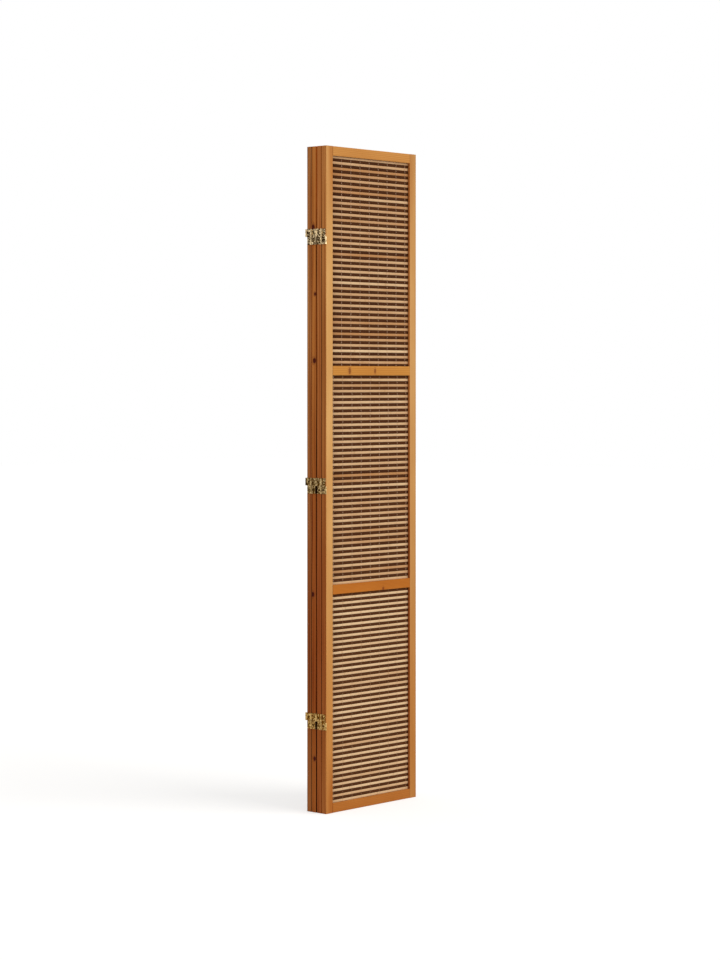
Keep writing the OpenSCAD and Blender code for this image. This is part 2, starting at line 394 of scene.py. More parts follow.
def make_knot_group():
    """q = distance from the knot's middle over its radii, roughened by noise. Core: Strength, and
    0 past its rim. Halo: the same with a wider rim. Push = halo x RINGS_ASIDE."""
    tree, take, give = new_group(
        "pine_knot",
        {"Position": ("Vector", ORIGIN), "Middle": ("Vector", ORIGIN),
         "Radii": ("Vector", (1, 1, 1)), "Strength": ("Float", 1.0)},
        {"Core": "Float", "Halo": "Float", "Push": "Float"})
    away = do_vector(tree, "SUBTRACT", take["Position"], take["Middle"])
    q = do_vector(tree, "LENGTH", do_vector(tree, "DIVIDE", away, take["Radii"]))
    rough = times(tree, noise(tree, take["Position"], KNOT_ROUGH_WAVES), KNOT_ROUGHNESS)
    q_rough = do_math(tree, "ADD", q, rough)
    halo = smooth_step(tree, q_rough, *HALO_RIM, take["Strength"], 0.0)
    fill(tree, give, {
        "Core": smooth_step(tree, q_rough, *CORE_RIM, take["Strength"], 0.0), "Halo": halo,
        "Push": times(tree, halo, RINGS_ASIDE)})
    return tree


knot_group = make_knot_group()
print("group", knot_group.name, "with", len(knot_group.nodes), "nodes")

# %% [markdown]
# ## The wood of a board
# No two boards of a real frame match, so each stile and rail gets its own material: the same
# groups, with its own place in the tree, its own tone and its own knots. A knot is a dark oval
# with a reddish halo that the rings flow round. One picture of wood for all the boards would be
# quicker, but each board would then show the same knots.

# %% Knots, grain and colour
# Least and most of what is chance: the pith's X and Y off the board and its place along it, and
# the width of a ring
PITH_RANGES = ((0.02, 0.06), (0.03, 0.08), (0, 40))
RING_GAPS = (0.0034, 0.0056)
TONE_RISE = (0.3, 0.7)
RING_SHARE = 1.1
FIBRE_RISE = (0.35, 0.75)
FIBRE_SHARE = 0.32


def knots_of(tree, where, knots):
    """The sum of the knots' pushes, and the strongest core and halo of them at each point."""
    push = core = halo = 0.0
    for middle, radii, strength in knots:
        knot = use_group(tree, knot_group, {"Position": where, "Middle": middle, "Radii": radii,
                                            "Strength": strength})
        push = do_math(tree, "ADD", knot["Push"], push)
        core = do_math(tree, "MAXIMUM", knot["Core"], core)
        halo = do_math(tree, "MAXIMUM", knot["Halo"], halo)
    return push, core, halo


def lay_level(tree, where):
    """The place turned a quarter about Y, so that the grain's Z runs along a rail."""
    return add_node(tree, "ShaderNodeMapping", {"Vector": where, "Rotation": (0, math.pi / 2, 0)},
                    vector_type="POINT").outputs[0]


def grain_of(tree, along, push, seed):
    """The pine group, with the pith's place and the rings' width by chance."""
    rng = np.random.default_rng(seed)
    pith = tuple(float(rng.uniform(low, high)) for low, high in PITH_RANGES)
    return use_group(tree, pine_group, {"Position": along, "Pith": pith, "Knot Push": push,
                                        "Ring Gap": float(rng.uniform(*RING_GAPS))})


def wood_colour(tree, grain, light, dark):
    """Half of the way from light to dark by tone, and the rest by rings and fibres."""
    mid = tuple((a + b) / 2 for a, b in zip(light, dark))
    toned = blend_colour(tree, smooth_step(tree, grain["Tone"], *TONE_RISE), light, mid)
    rings = do_math(tree, "MULTIPLY", grain["Rings"], RING_SHARE, clamp=True)
    fibres = smooth_step(tree, grain["Fibre"], *FIBRE_RISE, 0.0, FIBRE_SHARE)
    return blend_colour(tree, fibres, blend_colour(tree, rings, toned, dark), dark)


print("ring gaps", RING_GAPS)

# %% [markdown]
# ## How a stile has aged, and the shade painted on it
# The outer edges are darker and more orange than the faces: partly a darker stain, and partly
# painted shade with warm bounce light, as the edges look away from the lamp. They are darker and
# browner towards the foot, less so near the floor, and the stack's rear arris has a strip of
# painted shade. The front faces are browned
# at the head and foot, most of all beside the opening, and some edges have a patch of another
# tone. All this could be painted by hand on an image. Here each change is a tint that multiplies
# the colour where a mask is 1, and each mask is a smooth step on a height or a distance, so it
# keeps its place when the panel turns.

# %% Where the boards lie, and how far each change reaches
STILE_LOW, STILE_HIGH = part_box("panel_1_left_stile")
JOINT_X = abs(STILE_HIGH.x)           # where rails meet stiles
STILE_OUT = abs(STILE_LOW.x)          # a stile's outer edge
BACK_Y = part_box("panel_4_left_stile")[1].y
EDGE_FACING = (0.5, 0.95)             # the normal's X from which a face counts as an edge
# Heights at which a change sets in and is full
EDGE_BROWN_Z = (1.35, 0.40)
FACE_DEEP_Z = (0.95, 0.15)
HEAD_BROWN_Z = (1.44, 1.70)
FOOT_BROWN_Z = (0.19, 0.02)
NEAR_FLOOR_Z, NEAR_FLOOR_SHARE = (0.06, 0.42), 0.62   # this share of the brown is left at the first
OPENING_SHARE, OUTER_SHARE = 1.3, 0.4  # of the browned ends, beside the opening and far from it
BACK_BAND = 3.5 * MM
print("stiles from", JOINT_X, "to", STILE_OUT)

# %% The edges and faces of a stile
# Partly a darker stain on the edges, partly painted shade: warm bounce light on the faces that look
# along X, away from the lamp
EDGE_STAIN_AND_SHADE_TINT = (1.115, 0.78, 0.56, 1)
STREAK_TINT = (0.66, 0.50, 0.40, 1)
EDGE_FOOT_TINT = (0.65, 0.44, 0.34, 1)
# painted shade on the rounded rear arris at the stack's back
BACK_ARRIS_SHADE_TINT = (0.62, 0.66, 0.85, 1)
FOOT_TINT = (0.79, 0.62, 0.44, 1)
END_TINT = (0.73, 0.53, 0.36, 1)


def age_edge(tree, colour, is_edge, streak, y, height, patches):
    """Streaks, a browner foot and a strip of painted shade on the rounded arris at the stack's back
    on the outer edge, and its patches, each with the height of its middle, its half length and its
    tint."""
    colour = tinted(tree, colour, times(tree, is_edge, streak), STREAK_TINT)
    browner = smooth_step(tree, height, *EDGE_BROWN_Z)
    near_floor = smooth_step(tree, height, *NEAR_FLOOR_Z, NEAR_FLOOR_SHARE, 1.0)
    colour = tinted(tree, colour, times(tree, is_edge, browner, near_floor), EDGE_FOOT_TINT)
    for middle, half, tint in patches:
        off = absolute(tree, do_math(tree, "SUBTRACT", height, middle))
        colour = tinted(tree, colour, times(tree, is_edge, smooth_step(tree, off, half, 0.0)), tint)
    # painted shade where the outer edge rounds off at the stack's back
    on_back_arris = smooth_step(tree, y, BACK_Y - BACK_BAND, BACK_Y)
    return tinted(tree, colour, times(tree, is_edge, on_back_arris), BACK_ARRIS_SHADE_TINT)


def age_face(tree, colour, is_face, across, height, ends):
    """A deeper foot on the faces, and browned ends, as much as ends says for head and foot."""
    deeper = times(tree, smooth_step(tree, height, *FACE_DEEP_Z), is_face)
    colour = tinted(tree, colour, deeper, FOOT_TINT)
    inward = smooth_step(tree, across, JOINT_X, STILE_OUT, OPENING_SHARE, OUTER_SHARE)
    at_head = smooth_step(tree, height, *HEAD_BROWN_Z, 0.0, ends[0])
    at_foot = smooth_step(tree, height, *FOOT_BROWN_Z, 0.0, ends[1])
    browned = times(tree, do_math(tree, "ADD", at_head, at_foot), inward)
    share = do_math(tree, "MULTIPLY", browned, is_face, clamp=True)
    return tinted(tree, colour, share, END_TINT)


print("edges brown from", EDGE_BROWN_Z[0], "m down, faces from", FACE_DEEP_Z[0], "m")

# %% [markdown]
# ## The painted shade in the seams
# When the screen is shut, the boards of two panels nearly touch, and the gaps read as dark lines
# down the stack's edge. That shade is painted on the faces inside the stack and on the arrises of
# the middle gap, red where it is thin and near black where it is thick. In the photograph the lines
# fade where the panels come together, and a gap in the solids is even, so the share of the painted
# shade follows the height.

# %% The painted shade in the seams
# painted shade in the gaps between shut panels: red where thin, near black where thick
SEAM_SHADE_RED = (1.0, 0.52, 0.22, 1)
SEAM_SHADE_TINT = (0.08, 0.045, 0.03, 1)
SEAM_X = STILE_OUT - 3.4 * MM         # painted shade reaches from here outwards
SEAM_FADE = 1.2 * MM
INSIDE_Y = abs(STILE_LOW.y) - 1.0 * MM  # no seam on the stack's own front and back
INSIDE_FADE = 0.5 * MM
MIDDLE_Y = abs(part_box("panel_2_left_stile")[1].y)   # the widest gap, whose arrises get painted shade
ARRIS_SHADE_REACH = (1.3 * MM, 0.6 * MM)
EVEN_SEAM_SHADE = ((0.0, 1.0), (1.7, 1.0))


def value_up(tree, height, stops):
    """The value at a height, straight from each (height, value) of stops to the next one."""
    node = add_node(tree, "ShaderNodeValToRGB", {0: do_math(tree, "DIVIDE", height, STILE_HIGH.z)})
    marks = node.color_ramp.elements
    for mark, (z, value) in ((marks[0], stops[0]), (marks[-1], stops[-1])):
        mark.position, mark.color = z / STILE_HIGH.z, (value, value, value, 1)
    for z, value in stops[1:-1]:
        marks.new(z / STILE_HIGH.z).color = (value, value, value, 1)
    return node.outputs[0]


def shade_seams(tree, colour, is_face, across, y, height, seam):
    """Painted shade: red, and dark by the seam's share at each height, on the outer strip of the
    faces inside the stack and on the arrises of its middle gap."""
    off = absolute(tree, y)
    inside = smooth_step(tree, off, INSIDE_Y, INSIDE_Y - INSIDE_FADE)
    at_middle = smooth_step(tree, off, MIDDLE_Y + ARRIS_SHADE_REACH[0], MIDDLE_Y + ARRIS_SHADE_REACH[1])
    touched = do_math(tree, "MAXIMUM", times(tree, inside, is_face), at_middle)
    seam_shade_share = times(tree, smooth_step(tree, across, SEAM_X, SEAM_X + SEAM_FADE), touched)
    colour = tinted(tree, colour, seam_shade_share, SEAM_SHADE_RED)
    return tinted(tree, colour, times(tree, seam_shade_share, value_up(tree, height, seam)), SEAM_SHADE_TINT)


print("stain from", SEAM_X, "outwards, middle gap at", MIDDLE_Y)

# %% The finish of one board
KNOT_HALO = (0.26, 0.065, 0.015, 1)
KNOT_CORE = (0.10, 0.009, 0.002, 1)
HALO_SHARE = 0.55
JOINT_TINT = (0.62, 0.50, 0.40, 1)
JOINT_BAND = 1.2 * MM
PINE_ROUGHNESS = (0.36, 0.55)
PINE_SHINE = 0.06
RING_RELIEF = -0.5                    # the dark rings lie a little deeper than the fibres


def pine_material(name, light, dark, seed, knots=(), level=False, ends=(0, 0), patches=(),
                  seam=EVEN_SEAM_SHADE):
    """The wood's colour, times the edge tint, partly stain and partly painted shade, on faces that
    look along X, then what age has done to a rail or a stile and the painted shade in its seams,
    with the knots on top. level turns the grain from Z to X and makes a rail.
    ends, patches and seam are for a stile, as the functions above take them."""
    material, tree, shader, coords = start_material(name)
    where = coords["Object"]
    push, core, halo = knots_of(tree, where, knots)
    grain = grain_of(tree, lay_level(tree, where) if level else where, push, seed)
    facing = absolute(tree, parts_of(tree, coords["Normal"])[0])
    is_edge = smooth_step(tree, facing, *EDGE_FACING)
    colour = tinted(tree, wood_colour(tree, grain, light, dark), is_edge, EDGE_STAIN_AND_SHADE_TINT)
    x, y, height = parts_of(tree, where)
    across = absolute(tree, x)
    if level:
        at_joint = smooth_step(tree, across, JOINT_X - JOINT_BAND, JOINT_X)
        colour = tinted(tree, colour, at_joint, JOINT_TINT)
    else:
        is_face = do_math(tree, "SUBTRACT", 1.0, is_edge)
        colour = age_edge(tree, colour, is_edge, grain["Streak"], y, height, patches)
        colour = age_face(tree, colour, is_face, across, height, ends)
        colour = shade_seams(tree, colour, is_face, across, y, height, seam)
    if knots:
        colour = blend_colour(tree, times(tree, halo, HALO_SHARE), colour, KNOT_HALO)
        colour = blend_colour(tree, core, colour, KNOT_CORE)
    surface = do_math(tree, "ADD", times(tree, grain["Rings"], RING_RELIEF), grain["Fibre"])
    fill(tree, shader, {
        "Base Color": colour, "Normal": relief(tree, surface, strength=0.25, deep=0.3 * MM),
        "Roughness": smooth_step(tree, grain["Fibre"], *NOISE_SPAN, *PINE_ROUGHNESS),
        "Specular IOR Level": PINE_SHINE})
    return material


def assign(node, material):
    """Gives a solid its one material."""
    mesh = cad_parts[node].data
    mesh.materials.clear()
    mesh.materials.append(material)


print("varnish roughness", PINE_ROUGHNESS)

# %% [markdown]
# ## The boards' own tones and knots
# The photograph shows a pale honey front stile, rails that go from golden at the top to orange
# at the foot, and a few dark knots: two on the upper cross rail, one on the lower, and a row down
# the edge of the third panel. They are placed by their real distances, all in metres.

# %% Tones and marks, board by board
HONEY = (0.77, 0.45, 0.17, 1)
HONEY_LINE = (0.54, 0.25, 0.067, 1)
STILE_TONES = {
    "panel_1_right_stile": (0.86, 0.82, 0.79), "panel_2_left_stile": (0.95, 0.86, 0.85),
    "panel_3_left_stile": (0.94, 0.83, 0.64), "panel_4_left_stile": (0.87, 0.90, 1.05),
}
RAIL_TONES = {
    "top_rail": ((0.65, 0.305, 0.080, 1), (0.45, 0.168, 0.032, 1)),
    "upper_rail": ((0.635, 0.288, 0.059, 1), (0.43, 0.150, 0.021, 1)),
    "lower_rail": ((0.525, 0.175, 0.022, 1), (0.355, 0.091, 0.0075, 1)),
    "bottom_rail": ((0.49, 0.175, 0.033, 1), (0.335, 0.098, 0.013, 1)),
}
# How much the faces of a front stile have browned at the head and at the foot
BROWNED_ENDS = {"panel_1_left_stile": (1.0, 1.0), "panel_1_right_stile": (0.45, 0.0)}
# Patches on a stile's outer edge: height of the middle, half length and tint
EDGE_PATCHES = {"panel_1_left_stile": [(1.19, 0.30, (0.76, 0.66, 0.58, 1))],
                "panel_2_left_stile": [(1.40, 0.24, (1.20, 1.36, 1.55, 1))]}
# How dark the painted shade in a stile's seams is, as (height, share), where it isn't even
SEAM_SHADE_STOPS = {
    "panel_2_left_stile": ((0.05, 0.0), (0.24, 0.9), (0.40, 1.0), (0.50, 0.5), (0.62, 0.6),
                           (0.72, 1.0), (1.50, 1.0), (1.58, 0.0)),
    "panel_3_left_stile": ((0.18, 1.0), (0.30, 0.62), (0.94, 0.90), (1.10, 0.30), (1.27, 0.18),
                           (1.40, 0.65), (1.55, 0.0)),
    "panel_4_left_stile": ((0.56, 1.0), (0.66, 0.25), (0.76, 0.25), (0.88, 0.0), (1.32, 0.0),
                           (1.42, 0.22), (1.66, 0.65)),
}
print("stiles with seams of their own:", len(SEAM_SHADE_STOPS))

# %% Knots, and a material for every board
FRONT_KNOT_DEEP, FRONT_KNOT_SHARE = 30 * MM, 0.55
EDGE_KNOT_DEEP = 10 * MM


def front_knot(x, z, wide, tall):
    """Middle, radii and strength of a knot in the front face of the front panel."""
    return (x, STILE_LOW.y, z), (wide, FRONT_KNOT_DEEP, tall), FRONT_KNOT_SHARE


def edge_knot(y, z, wide, tall):
    """The same for a knot on the outer edge of a left stile, y behind the middle of the stack."""
    return (STILE_LOW.x, y, z), (EDGE_KNOT_DEEP, wide, tall), 1.0


KNOTS = {
    "panel_1_upper_rail": [front_knot(-0.086, 1.127, 0.0042, 0.0078),
                           front_knot(0.012, 1.127, 0.0032, 0.0060)],
    "panel_1_lower_rail": [front_knot(0.044, 0.560, 0.0035, 0.0040)],
    "panel_3_left_stile": [edge_knot(0.0118, 1.493, 0.0050, 0.0070),
                           edge_knot(0.0054, 1.323, 0.0032, 0.0042),
                           edge_knot(0.0075, 1.153, 0.0050, 0.0066),
                           edge_knot(0.0130, 0.556, 0.0048, 0.0060),
                           edge_knot(0.0068, 0.137, 0.0042, 0.0055)],
}

for number in PANELS:
    for order, hand in enumerate(("left_stile", "right_stile")):
        node = f"panel_{number}_{hand}"
        light, dark = (tuple(a * b for a, b in zip((*STILE_TONES.get(node, (1, 1, 1)), 1), tone))
                       for tone in (HONEY, HONEY_LINE))
        assign(node, pine_material(node + "_pine", light, dark, 10 * number + order,
                                   KNOTS.get(node, ()), ends=BROWNED_ENDS.get(node, (0, 0)),
                                   patches=EDGE_PATCHES.get(node, ()),
                                   seam=SEAM_SHADE_STOPS.get(node, EVEN_SEAM_SHADE)))
    for order, (rail, (light, dark)) in enumerate(RAIL_TONES.items()):
        node = f"panel_{number}_{rail}"
        assign(node, pine_material(node + "_pine", light, dark, 100 + 10 * number + order,
                                   KNOTS.get(node, ()), level=True))
print("boards", 6 * len(PANELS), "knots", sum(len(knots) for knots in KNOTS.values()))

# %% [markdown]
# ## Meshes from arrays
# The blinds are many small pieces of one form. Array modifiers could repeat one slat, but all would
# be alike, so they are worked out as whole arrays: a ring of points for the cross-section, copied
# along a path. The helpers below take an array of tubes, shaped (tube, ring, point, xyz), join each
# ring to the next with four-sided faces, and close both ends. Attributes given for each ring carry
# what a material needs to know.

# %% The helpers that skin tubes


def tube_faces(tubes, count, points):
    """Faces (i, j), (i, j+1), (i+1, j+1), (i+1, j) for ring i and point j of each tube, and a
    ladder of quads across each end, which needs an even number of points. Also how many of the
    faces are walls, which come first."""
    index = np.arange(tubes * count * points).reshape(tubes, count, points)
    after = np.roll(index, -1, axis=2)
    walls = np.stack([index[:, :-1], after[:, :-1], after[:, 1:], index[:, 1:]], axis=-1)
    steps = np.arange(points // 2 - 1)
    ladder = np.stack([steps, steps + 1, points - 2 - steps, points - 1 - steps], axis=-1)
    head = index[:, -1][:, ladder]
    foot = index[:, 0][:, ladder[:, ::-1]]
    parts = [part.reshape(-1, 4) for part in (walls, head, foot)]
    return np.concatenate(parts), len(parts[0])


def skin_tubes(name, rings, **attributes):
    """A mesh of tubes. rings has the shape (tubes, rings, points, 3), with the points of a ring
    anticlockwise when seen from its far end. An attribute has one value for each ring."""
    tubes, count, points, _ = rings.shape
    faces, wall_count = tube_faces(tubes, count, points)
    mesh = bpy.data.meshes.new(name)
    mesh.vertices.add(rings.size // 3)
    mesh.vertices.foreach_set("co", rings.astype(np.float32).ravel())
    mesh.loops.add(faces.size)
    mesh.loops.foreach_set("vertex_index", faces.astype(np.int32).ravel())
    mesh.polygons.add(len(faces))
    mesh.polygons.foreach_set("loop_start", np.arange(0, faces.size, 4, dtype=np.int32))
    mesh.polygons.foreach_set("use_smooth", np.arange(len(faces)) < wall_count)
    mesh.update(calc_edges=True)
    for key, values in attributes.items():
        made = mesh.attributes.new(key, "FLOAT", "POINT")
        spread = np.broadcast_to(values[:, :, None], (tubes, count, points))
        made.data.foreach_set("value", spread.astype(np.float32).ravel())
    piece = bpy.data.objects.new(name, mesh)
    bpy.context.scene.collection.objects.link(piece)
    return piece


def signed_volume(piece):
    """Six times the volume, as the sum of a . (b x c) over the triangles: above 0 when the faces
    point outwards."""
    mesh = piece.data
    mesh.calc_loop_triangles()
    corners = np.zeros(len(mesh.loop_triangles) * 3, np.int32)
    mesh.loop_triangles.foreach_get("vertices", corners)
    co = np.zeros(len(mesh.vertices) * 3, np.float32)
    mesh.vertices.foreach_get("co", co)
    a, b, c = co.reshape(-1, 3)[corners].reshape(-1, 3, 3).transpose(1, 0, 2).astype(float)
    return float(np.einsum("ij,ij->i", a, np.cross(b, c)).sum())


print("faces of one four-sided tube:", len(tube_faces(1, 2, 4)[0]))

# %% [markdown]
# ## The slats
# Split bamboo is never quite straight: each slat swells a little at a joint, where the cane had a
# ring, and its edges wander by a few hundredths of a millimetre. The section is a rounded oblong,
# which a superellipse gives with one formula. The height of a pair of slats
# was measured in the photograph, where each blind also starts a little below its rail's edge.

# %% Where the slats lie
# For each blind: rail below, rail above, height of a light and a dark slat, how far its foot lies
# below the opening, whether a light slat comes first, and how far its threads are shifted
BLINDS = {
    "bottom": ("bottom_rail", "lower_rail", 14.01 * MM, 0.7 * MM, True, 0.0),
    "middle": ("lower_rail", "upper_rail", 14.45 * MM, 0.7 * MM, True, 0.0),
    "top": ("upper_rail", "top_rail", 14.56 * MM, 1.6 * MM, False, -4.5 * MM),
}
SLAT_BITE = 0.5 * MM                  # least height of the last slat behind the rail above
SLAT_GAP = 0.15 * MM
# The blinds of the four panels hang a little unlike, so no gap lines up with the next one
HANG = {1: 0.0, 2: 0.40 * MM, 3: -0.30 * MM, 4: 0.20 * MM}


def blind_rows(panel, blind):
    """Foot of the blind, height of a slat's step, and the number of slats that fill the opening."""
    below, above, pitch, drop, _, _ = BLINDS[blind]
    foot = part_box(f"panel_{panel}_{below}")[1].z - drop + HANG[panel]
    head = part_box(f"panel_{panel}_{above}")[0].z + SLAT_BITE
    return foot, pitch / 2, math.ceil((head - foot) / (pitch / 2))


def rows_of(panel, blind, light):
    """The numbers, from the foot, of one colour's slats: every second row of the blind."""
    light_first = BLINDS[blind][4]
    return np.arange(0 if light == light_first else 1, blind_rows(panel, blind)[2], 2)


def slat_rows(panel, light):
    """Middle heights and half heights of one colour's slats."""
    middles, halves = [], []
    for blind in BLINDS:
        foot, step, _ = blind_rows(panel, blind)
        rows = rows_of(panel, blind, light)
        middles.append(foot + (rows + 0.5) * step)
        halves.append(np.full(len(rows), (step - SLAT_GAP) / 2))
    return np.concatenate(middles), np.concatenate(halves)


print("slats a panel:", sum(blind_rows(1, blind)[2] for blind in BLINDS))

# %% The tones of the slats
USUAL_TONE = {"bottom": 0.16, "middle": 0.42, "top": 0.56}
TONE_CHANCE = 0.10
# Slats of the front panel that stand out in the photograph: number from the foot and tone
FRONT_TONES = {
    "bottom": {0: 0.28, 1: 0.42, 4: 0.42, 10: 0.52, 13: 0.34, 22: 0.34},
    "middle": {2: 0.85, 7: 0.70, 9: 0.75, 17: 0.20, 18: 0.80, 19: 0.95, 35: 0.72},
    "top": {2: 0.05, 4: 0.80, 5: 1.00, 7: 0.85, 14: 0.25, 19: 1.00, 25: 0.78, 30: 0.95, 31: 0.75,
            33: 0.90, 34: 0.95},
}


def slat_tones(panel, light, rng):
    """0 is pale and 1 deep: the usual tone of the blind, with a little chance in it."""
    tones = []
    for blind in BLINDS:
        count = len(rows_of(panel, blind, light))
        tone = np.clip(rng.normal(USUAL_TONE[blind], TONE_CHANCE, count), 0, 1)
        if panel == 1 and light:
            for number, value in FRONT_TONES[blind].items():
                tone[number] = value
        tones.append(tone)
    return np.concatenate(tones)


print("slats that stand out:", sum(len(tones) for tones in FRONT_TONES.values()))

# %% The slats' surface
SLAT_POINTS = 8
EVEN_RINGS = 7                        # rings along a slat, besides the three of its joint
SQUARE_Y, SQUARE_Z = 0.45, 0.35       # powers of the superellipse: the smaller, the squarer
JOINT_HALF = 3.5 * MM
JOINT_MARGIN = 0.03                   # no joint lies nearer to the stiles
SWELL_WIDTH = 0.6 * JOINT_HALF
TALL_CHANCE, TALL_SWELL = 0.012, 0.012                  # shares of a slat's half height
THICK_LEAST, THICK_CHANCE, THICK_SWELL = 0.92, 0.08, 0.10   # and of its half thickness
EDGE_WANDER, MOST_WANDER = 0.03 * MM, 0.05 * MM


def slat_section():
    """At angle t: y = |cos t|^SQUARE_Y and z = |sin t|^SQUARE_Z, with signs, both up to 1."""
    t = np.linspace(0, 2 * math.pi, SLAT_POINTS, endpoint=False) + math.pi / SLAT_POINTS
    y = np.sign(np.cos(t)) * np.abs(np.cos(t)) ** SQUARE_Y
    z = np.sign(np.sin(t)) * np.abs(np.sin(t)) ** SQUARE_Z
    return y / y.max(), z / z.max()


def slat_rings(panel, light, rng):
    """The section times half height H and half thickness T. Along the slat, H and T vary by a few
    per cent, and both grow by a bell curve, exp(-(distance / width)^2), at the joint."""
    low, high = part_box(f"panel_{panel}_{'light' if light else 'dark'}_slats")
    z_mid, half = slat_rows(panel, light)
    count = len(z_mid)
    x_joint = rng.uniform(low.x + JOINT_MARGIN, high.x - JOINT_MARGIN, count)
    even = np.broadcast_to(np.linspace(low.x, high.x, EVEN_RINGS), (count, EVEN_RINGS))
    at_joint = x_joint[:, None] + np.array([-JOINT_HALF, 0, JOINT_HALF])
    x = np.sort(np.concatenate([even, at_joint], axis=1), axis=1)
    swell = np.exp(-((x - x_joint[:, None]) / SWELL_WIDTH) ** 2)
    tall = half[:, None] * (1 - TALL_CHANCE * rng.random(x.shape) + TALL_SWELL * swell)
    uneven = THICK_LEAST + THICK_CHANCE * rng.random((count, 1)) + THICK_SWELL * swell
    thick = (high.y - low.y) / 2 * uneven
    wander = np.clip(rng.normal(0, EDGE_WANDER, x.shape), -MOST_WANDER, MOST_WANDER)
    unit_y, unit_z = slat_section()
    rings = np.empty((count, x.shape[1], SLAT_POINTS, 3))
    rings[..., 0] = x[:, :, None]
    rings[..., 1] = (low.y + high.y) / 2 + thick[:, :, None] * unit_y
    rings[..., 2] = (z_mid[:, None] + wander)[:, :, None] + tall[:, :, None] * unit_z
    tone = np.broadcast_to(slat_tones(panel, light, rng)[:, None], x.shape)
    return rings, tone, swell


def make_slats(panel, light):
    """One colour's slats of a panel. They ride on it and replace the plain ones."""
    shade = "light" if light else "dark"
    rng = np.random.default_rng(1000 * panel + light)
    rings, tone, swell = slat_rings(panel, light, rng)
    piece = skin_tubes(f"panel_{panel}_{shade}_split_bamboo", rings, tone=tone, joint=swell)
    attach(piece, f"panel_{panel}")
    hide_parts(f"panel_{panel}_{shade}_slats")
    return piece


print("section", np.round(slat_section(), 2).tolist())

# %% [markdown]
# ## The bamboo's finish
# The light slats are plain bamboo: pale beige with fine straight fibres, some slats yellower and a
# few quite orange. The dark ones are the same strips, stained nearly black-brown, so the fibres
# only just show. The rounded edges, where slat meets slat, are darkened with painted shade for the
# narrow gaps between them. One material for each slat would be wasteful, so two serve for all, and
# the tone of each slat and the place of its joint come from the mesh's attributes.

# %% The group for split bamboo
BAMBOO_FIBRE_WAVES = (22, 900, 1400)
CLOUD_WAVES = (14, 30, 55)
CLOUD_SHARE = 0.6                     # how much the tone drifts along a slat
BAMBOO_FIBRE_RISE = (0.45, 0.85)
BAMBOO_FIBRE_SHARE = 0.5
JOINT_SHARE = 0.45


def make_bamboo_group():
    """Fibre: noise drawn out along X. Colour: plain to deep by the slat's tone, which drifts with
    a slow noise, darker in the fibres and at the joint."""
    tree, take, give = new_group(
        "split_bamboo",
        {"Position": ("Vector", ORIGIN), "Tone": ("Float", 0.5), "Joint": ("Float", 0.0),
         "Plain": ("Color", (1, 1, 1, 1)), "Deep": ("Color", (1, 1, 1, 1)),
         "Fibre Colour": ("Color", (0, 0, 0, 1))},
        {"Colour": "Color", "Fibre": "Float"})
    fibre = drawn_noise(tree, take["Position"], BAMBOO_FIBRE_WAVES, detail=3, rough=0.65)
    cloudy = drawn_noise(tree, take["Position"], CLOUD_WAVES, detail=1)
    drift = times(tree, do_math(tree, "SUBTRACT", cloudy, 0.5), CLOUD_SHARE)
    tone = do_math(tree, "ADD", take["Tone"], drift, clamp=True)
    base = blend_colour(tree, tone, take["Plain"], take["Deep"])
    in_fibre = smooth_step(tree, fibre, *BAMBOO_FIBRE_RISE, 0.0, BAMBOO_FIBRE_SHARE)
    lined = blend_colour(tree, in_fibre, base, take["Fibre Colour"])
    at_joint = times(tree, take["Joint"], JOINT_SHARE)
    fill(tree, give, {"Colour": blend_colour(tree, at_joint, lined, take["Fibre Colour"]),
                      "Fibre": fibre})
    return tree


bamboo_group = make_bamboo_group()
print("group", bamboo_group.name, "with", len(bamboo_group.nodes), "nodes")

# %% The two bamboos, and the slats made
# painted shade in the narrow gaps where slat meets slat
SLAT_GAP_SHADE_TINT = (0.42, 0.34, 0.27, 1)
ROUNDING = (0.25, 0.90)               # the normal's Z at which the painted shade between slats begins and is full


def bamboo_material(name, plain, deep, fibre_colour, rough, specular):
    """The group's colour, times the tint of painted shade on the rounded edges, where slats meet.
    rough is the roughness between the fibres and on them."""
    material, tree, shader, coords = start_material(name)
    tone = add_node(tree, "ShaderNodeAttribute", attribute_name="tone")
    joint = add_node(tree, "ShaderNodeAttribute", attribute_name="joint")
    made = use_group(tree, bamboo_group, {
        "Position": coords["Object"], "Tone": tone.outputs["Fac"], "Joint": joint.outputs["Fac"],
        "Plain": plain, "Deep": deep, "Fibre Colour": fibre_colour})
    upward = absolute(tree, parts_of(tree, coords["Normal"])[2])
    gap_shade = smooth_step(tree, upward, *ROUNDING)
    fill(tree, shader, {
        "Base Color": tinted(tree, made["Colour"], gap_shade, SLAT_GAP_SHADE_TINT),
        "Normal": relief(tree, made["Fibre"], strength=0.35, deep=0.3 * MM),
        "Roughness": smooth_step(tree, made["Fibre"], *NOISE_SPAN, *rough),
        "Specular IOR Level": specular})
    return material


light_bamboo = bamboo_material(
    "light_bamboo", plain=(0.76, 0.54, 0.32, 1), deep=(0.47, 0.225, 0.085, 1),
    fibre_colour=(0.44, 0.24, 0.10, 1), rough=(0.45, 0.65), specular=0.08)
dark_bamboo = bamboo_material(
    "dark_bamboo", plain=(0.085, 0.027, 0.008, 1), deep=(0.046, 0.013, 0.004, 1),
    fibre_colour=(0.11, 0.042, 0.014, 1), rough=(0.50, 0.65), specular=0.03)

for number in PANELS:
    make_slats(number, True).data.materials.append(light_bamboo)
    dark_piece = make_slats(number, False)
    dark_piece.data.materials.append(dark_bamboo)
print("slats outward:", signed_volume(dark_piece) > 0, "faces", len(dark_piece.data.polygons))

# %% [markdown]
# ## The threads
# Nine columns of cotton tie each blind. In every column two strands take turns: one goes in front
# of a slat and behind the next, and the other does the opposite, so a slat always has a strand on
# each face. A curve with a bevel would do, but the path is so regular that an array is simpler. It
# needs three points a slat: where the strands cross between two slats, and two on the face.

